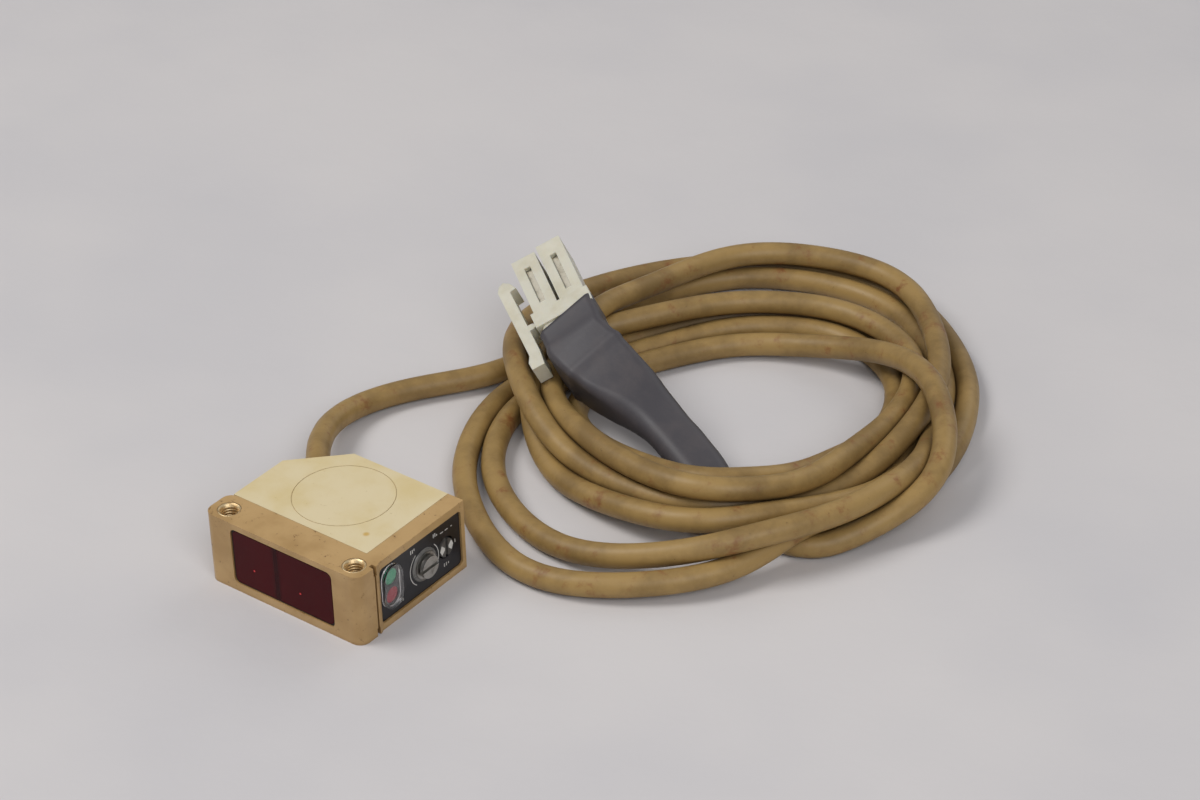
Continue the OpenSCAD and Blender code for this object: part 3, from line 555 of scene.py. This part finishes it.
def build_floor():
    """Pale paper: faint clouds of tone and a slow wave."""
    bm = bmesh.new()
    bmesh.ops.create_grid(bm, x_segments=FLOOR_CELLS, y_segments=FLOOR_CELLS, size=FLOOR_HALF)
    mesh = bpy.data.meshes.new("table")
    bm.to_mesh(mesh)
    bm.free()
    floor = bpy.data.objects.new("table", mesh)
    scene.collection.objects.link(floor)
    mat, tree, bsdf, place = start_material("table_paper", Specular_IOR_Level=0.2, Roughness=0.85)
    cloud = add(tree, NOISE, "Fac", {"Vector": place, "Scale": PER_M / 90, "Detail": 3, "Roughness": 0.55})
    wave = add(tree, NOISE, "Fac", {"Vector": place, "Scale": PER_M / 14, "Detail": 4, "Roughness": 0.6})
    bump = add(tree, BUMP, "Normal", {"Height": wave, "Distance": 0.25 * MM, "Strength": 1.0})
    tree.links.new(cover_where(tree, cloud, 0.35, 0.7, "#D3CFCE", "#CBC8C9"), bsdf.inputs["Base Color"])
    tree.links.new(bump, bsdf.inputs["Normal"])
    mesh.materials.append(mat)


def lamp(name, place, size, power, colour):
    """A round softbox that faces the part: place and size in metres, power in watts."""
    light = bpy.data.lights.new(name, "AREA")
    light.shape = "DISK"
    light.size = size
    light.energy = power
    light.color = colour
    obj = bpy.data.objects.new(name, light)
    obj.matrix_world = Matrix.Translation(Vector(place)) @ facing(Vector(place), Vector(CENTRE))
    scene.collection.objects.link(obj)


build_floor()
lamp("softbox_left", (-0.5, -0.4, 1.0), 0.6, 7.0, (1.0, 0.985, 0.965))
lamp("softbox_right", (0.75, -0.45, 0.75), 0.7, 5.0, (0.98, 0.985, 1.0))
lamp("softbox_back", (0.1, 1.0, 0.7), 0.8, 1.6, (1.0, 1.0, 1.0))
world = bpy.data.worlds.new("studio")
world.use_nodes = True
world.node_tree.nodes["Background"].inputs["Color"].default_value = SKY
world.node_tree.nodes["Background"].inputs["Strength"].default_value = SKY_STRENGTH
scene.world = world
scene.view_settings.view_transform = "Standard"

# ---------------------------------------------------------------- shrink sleeve
WALL = 0.75                     # thickness over the plug's tail
LINING_GAP = 0.15               # room between the tail and the lining
LINING_DEPTH = 1.5
FLAT_W, FLAT_H = 8.3, 4.9       # where it lies flat
END_W, END_H = 5.9, 4.7         # where it grips the cable
BOX_R = 1.3                     # corner radius over the plug's tail
TAIL_EDGE, EDGE_SPREAD, EDGE_RISE = 0.215, 0.02, 0.3    # the tail's end shows as a soft ridge
FLATTENS_FROM, FLATTENS_OVER = 0.235, 0.4               # shares of its length
NARROWS_FROM = 0.75
MOUTH_SLANT, SLANT_TO = 0.3, 0.22           # the mouth runs askew round the plug
WRINKLE, WRINKLES_PER_MM = 0.22, 0.25
FLAT_WRINKLE = 0.3              # share of the wrinkles left where it lies flat
STRAIGHT_RINGS = 12             # the first rings lie straight along the plug's tail
ROUND_SHORT = 0.02              # keeps a short straight side on the roundest section


def rounded_section(width, height, radius, per_corner=9):
    """A rounded rectangle, counterclockwise."""
    points = []
    for cx, cy, start in ((1, 1, 0), (-1, 1, 90), (-1, -1, 180), (1, -1, 270)):
        for k in range(per_corner):
            t = math.radians(start + 90 * k / (per_corner - 1))
            points.append((cx * (width / 2 - radius) + radius * math.cos(t),
                           cy * (height / 2 - radius) + radius * math.sin(t)))
    return points


def build_sleeve():
    """Drawn boxy over the plug's tail and tight on the cable, with a soft ridge and wrinkles."""
    bm = bmesh.new()
    last = len(axis) - 1
    way = (Vector(axis[1]) - Vector(axis[0])).normalized()

    def section_at(k, width, height, radius, boxy):
        """One ring of places in mm, at the axis point k; boxy is 1 on the plug and 0 where it lies flat."""
        centre = Vector(axis[k])
        along = way
        if k >= STRAIGHT_RINGS:
            along = (Vector(axis[min(k + 2, last)]) - Vector(axis[k - 2])).normalized()
        side = Vector((0, 0, 1)).cross(along).normalized()
        up = along.cross(side)
        turn = -PLUG_ROLL * boxy
        slant = MOUTH_SLANT * max(0, 1 - k / last / SLANT_TO)
        depth = WRINKLE * (FLAT_WRINKLE + (1 - FLAT_WRINKLE) * boxy)
        ring = []
        for x, y in rounded_section(width, height, radius):
            at = (centre + (x * math.cos(turn) - y * math.sin(turn)) * side
                  + (x * math.sin(turn) + y * math.cos(turn)) * up)
            wave = 0
            if k:
                wave = noise.noise(at * WRINKLES_PER_MM) * depth
            ring.append(at - way * x * slant + (at - centre).normalized() * wave)
        return ring

    lining = section_at(0, PLUG_W + 2 * LINING_GAP, PLUG_H + 2 * LINING_GAP, BOX_R, 1)
    rings = [ring_of(bm, [(p + way * depth) * MM for p in lining]) for depth in (LINING_DEPTH, 0)]
    for k in range(last + 1):
        t = k / last
        s = min(1, max(0, (t - FLATTENS_FROM) / FLATTENS_OVER))
        flat = s * s * (3 - 2 * s)
        narrow = max(0, (t - NARROWS_FROM) / (1 - NARROWS_FROM)) ** 2
        ridge = 2 * EDGE_RISE * math.exp(-((t - TAIL_EDGE) / EDGE_SPREAD) ** 2)
        width = ((PLUG_W + 2 * WALL) * (1 - flat) + FLAT_W * flat) * (1 - narrow) + END_W * narrow + ridge
        height = ((PLUG_H + 2 * WALL) * (1 - flat) + FLAT_H * flat) * (1 - narrow) + END_H * narrow + ridge
        radius = BOX_R * (1 - flat) + (min(width, height) / 2 - ROUND_SHORT) * flat
        rings.append(ring_of(bm, [p * MM for p in section_at(k, width, height, radius, 1 - flat)]))
    skin(bm, rings, False, True)
    sleeve = piece("shrink_sleeve_skin", bm, "shrink")
    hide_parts("shrink_sleeve")
    return sleeve


sleeve = build_sleeve()

# ---------------------------------------------------------------- threaded sleeves in the case
HOLES = ((-13.0, -10.05), (12.4, -10.05))
THREAD_PITCH, THREAD_R, THREAD_DEPTH = 0.5, 1.29, 0.2
THREAD_TOP, THREAD_FOOT = 0.38, 0.3         # below the mouth, and above the case's foot
SLEEVE_FOOT, MOUTH_R = 0.06, 1.62
STEPS_PER_PITCH = 4
SIDES = 32


def build_inserts():
    """Brass sleeves with an M3 thread right through them, chamfered at both mouths."""
    bm = bmesh.new()
    top = case_top / MM
    angles = [FULL_TURN * k / SIDES for k in range(SIDES)]
    # Height and radius from the foot up the outside and into the mouth
    outside = [(SLEEVE_FOOT, 1.88), (0.2, 1.9), (top - 0.2, 1.9), (top - 0.03, 1.86), (top, 1.78),
               (top - 0.02, 1.66)]
    for x, y in HOLES:
        levels = [(z, [r] * SIDES) for z, r in outside]
        for z in np.arange(top - THREAD_TOP, THREAD_FOOT, -THREAD_PITCH / STEPS_PER_PITCH):
            levels.append((z, [THREAD_R + THREAD_DEPTH * abs(2 * ((z / THREAD_PITCH + k / SIDES) % 1) - 1)
                               for k in range(SIDES)]))
        levels.append((SLEEVE_FOOT, [MOUTH_R] * SIDES))
        rings = [ring_of(bm, [Vector((x + r * math.cos(a), y + r * math.sin(a), z)) * MM
                              for a, r in zip(angles, radii)]) for z, radii in levels]
        skin(bm, rings + [rings[0]])
    inserts = piece("threaded_inserts", bm, "insert")
    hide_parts("mounting_sleeves")


build_inserts()

# ---------------------------------------------------------------- marks and fittings on the control panel
KNOB_Y, KNOB_Z = 3.2, 6.0
ROTOR_Y, ROTOR_Z = 8.35, 6.2
MARK_DEPTH = 0.02
ARCS = ((125, 232), (-52, 40))              # first and last angle, in degrees
ARC_STEP, ARC_R, ARC_WIDTH = 6, 3.35, 0.12
# Each tick: place across and up the panel, width and height
TICKS = ((0.2, 9.9, 0.16, 0.7), (0.6, 9.9, 0.16, 0.7), (1.0, 10.05, 0.16, 0.4),
         (5.6, 9.9, 0.16, 0.7), (6.0, 9.9, 0.16, 0.7), (6.4, 9.7, 0.16, 0.3),
         (7.6, 9.4, 0.7, 0.14), (8.7, 9.4, 0.7, 0.14), (9.9, 9.4, 0.3, 0.14),
         (7.8, 3.1, 0.16, 0.6), (8.3, 3.1, 0.16, 0.6), (8.8, 3.1, 0.16, 0.35),
         (-2.2, 2.6, 0.14, 0.5), (-2.2, 3.6, 0.14, 0.5), (10.6, 6.2, 0.14, 0.6))
POINTER = ((0.5, -25), (1.45, -38), (1.55, 0), (1.45, 38), (0.5, 25))     # radius and angle
# The collar's section: how far it stands out of the panel, and its radius
COLLAR = ((-0.6, 2.05), (0.05, 2.05), (0.12, 2.15), (0.12, 2.35), (0, 2.42), (0, 2.6),
          (0.1, 2.68), (0.1, 2.8), (-0.6, 2.86))
COLLAR_SIDES = 64


def plate(bm, x, outline):
    """A thin flat shape on the panel: outline holds (y, z) pairs, all in mm."""
    back = ring_of(bm, [Vector((x - MARK_DEPTH, y, z)) * MM for y, z in outline])
    front = ring_of(bm, [Vector((x + MARK_DEPTH, y, z)) * MM for y, z in outline])
    skin(bm, [back, front], True, True)


def around(y, z, polar):
    """Outline from (radius, angle in degrees) pairs about a place on the panel."""
    return [(y + r * math.cos(math.radians(a)), z + r * math.sin(math.radians(a))) for r, a in polar]


def build_marks():
    """Plain printed ticks and arcs: no letters, only strokes."""
    bm = bmesh.new()
    x = panel_face / MM
    outer = ARC_R + ARC_WIDTH
    for start, end in ARCS:
        for a in range(start, end, ARC_STEP):
            b = a + ARC_STEP
            plate(bm, x, around(KNOB_Y, KNOB_Z, ((ARC_R, a), (ARC_R, b), (outer, b), (outer, a))))
    for y, z, wide, tall in TICKS:
        plate(bm, x, [(y - wide / 2, z - tall / 2), (y + wide / 2, z - tall / 2),
                      (y + wide / 2, z + tall / 2), (y - wide / 2, z + tall / 2)])
    piece("panel_marks", bm, "print", smooth=False)


def build_pointers():
    """Two pale pointers on the mode selector, one each side of its slot."""
    bm = bmesh.new()
    for way in (0, 180):
        plate(bm, rotor_face / MM, around(ROTOR_Y, ROTOR_Z, [(r, way + a) for r, a in POINTER]))
    piece("selector_pointers", bm, "print", SELECTOR, smooth=False)


def build_collar():
    """A grey ring in the well round the adjuster."""
    bm = bmesh.new()
    rings = []
    for out, radius in COLLAR:
        angles = (FULL_TURN * k / COLLAR_SIDES for k in range(COLLAR_SIDES))
        rings.append(ring_of(bm, [(panel_face + out * MM, (KNOB_Y + radius * math.cos(a)) * MM,
                                   (KNOB_Z + radius * math.sin(a)) * MM) for a in angles]))
    skin(bm, rings + [rings[0]])
    piece("adjuster_collar", bm, "collar")


build_marks()
build_pointers()
build_collar()

# ---------------------------------------------------------------- CAD nodes that keep their shape
# Each with its material and the radius of its edges
KEPT = (
    ("case_body", "case", 0.28), ("side_cover", "cover", 0.18), ("window_gasket", "seal", 0.05),
    ("panel_gasket", "seal", 0.05), ("optics_holder", "black", 0.12), ("light_baffle", "black", 0.08),
    ("emitter_led", "red_lamp", 0.05), ("receiver_photodiode", "diode", 0.05),
    ("main_circuit_board", "board", 0.05), ("control_chip", "chip", 0.06),
    ("board_components", "parts", 0.06), ("board_header", "chip", 0.08),
    ("panel_circuit_board", "board", 0.05), ("control_panel", "panel", 0.07),
    ("indicator_lens", "dome", 0.12), ("stability_led", "green_lamp", 0.06),
    ("output_led", "red_lamp", 0.06), ("adjuster_knob", "knob", 0.08), ("adjuster_seal", "seal", 0.05),
    ("trimmer_potentiometer", "trimmer", 0.1), ("mode_selector", "rotor", 0.06),
    ("selector_seal", "seal", 0.05), ("mode_switch", "chip", 0.1), ("cable_clamp", "terminal", 0.08),
    ("core_wires", "core", 0.04), ("wire_terminal", "terminal", 0.1), ("plug_housing", "nylon", 0.3),
    ("plug_latch", "nylon", 0.3), ("plug_contacts", "tin", 0.05), ("filter_window", "filter", 0.1),
    ("cable_bush", "bush", 0.12), ("emitter_lens", "lens", 0.05), ("receiver_lens", "lens", 0.05))
for node, material, radius in KEPT:
    soften(node, material, radius)
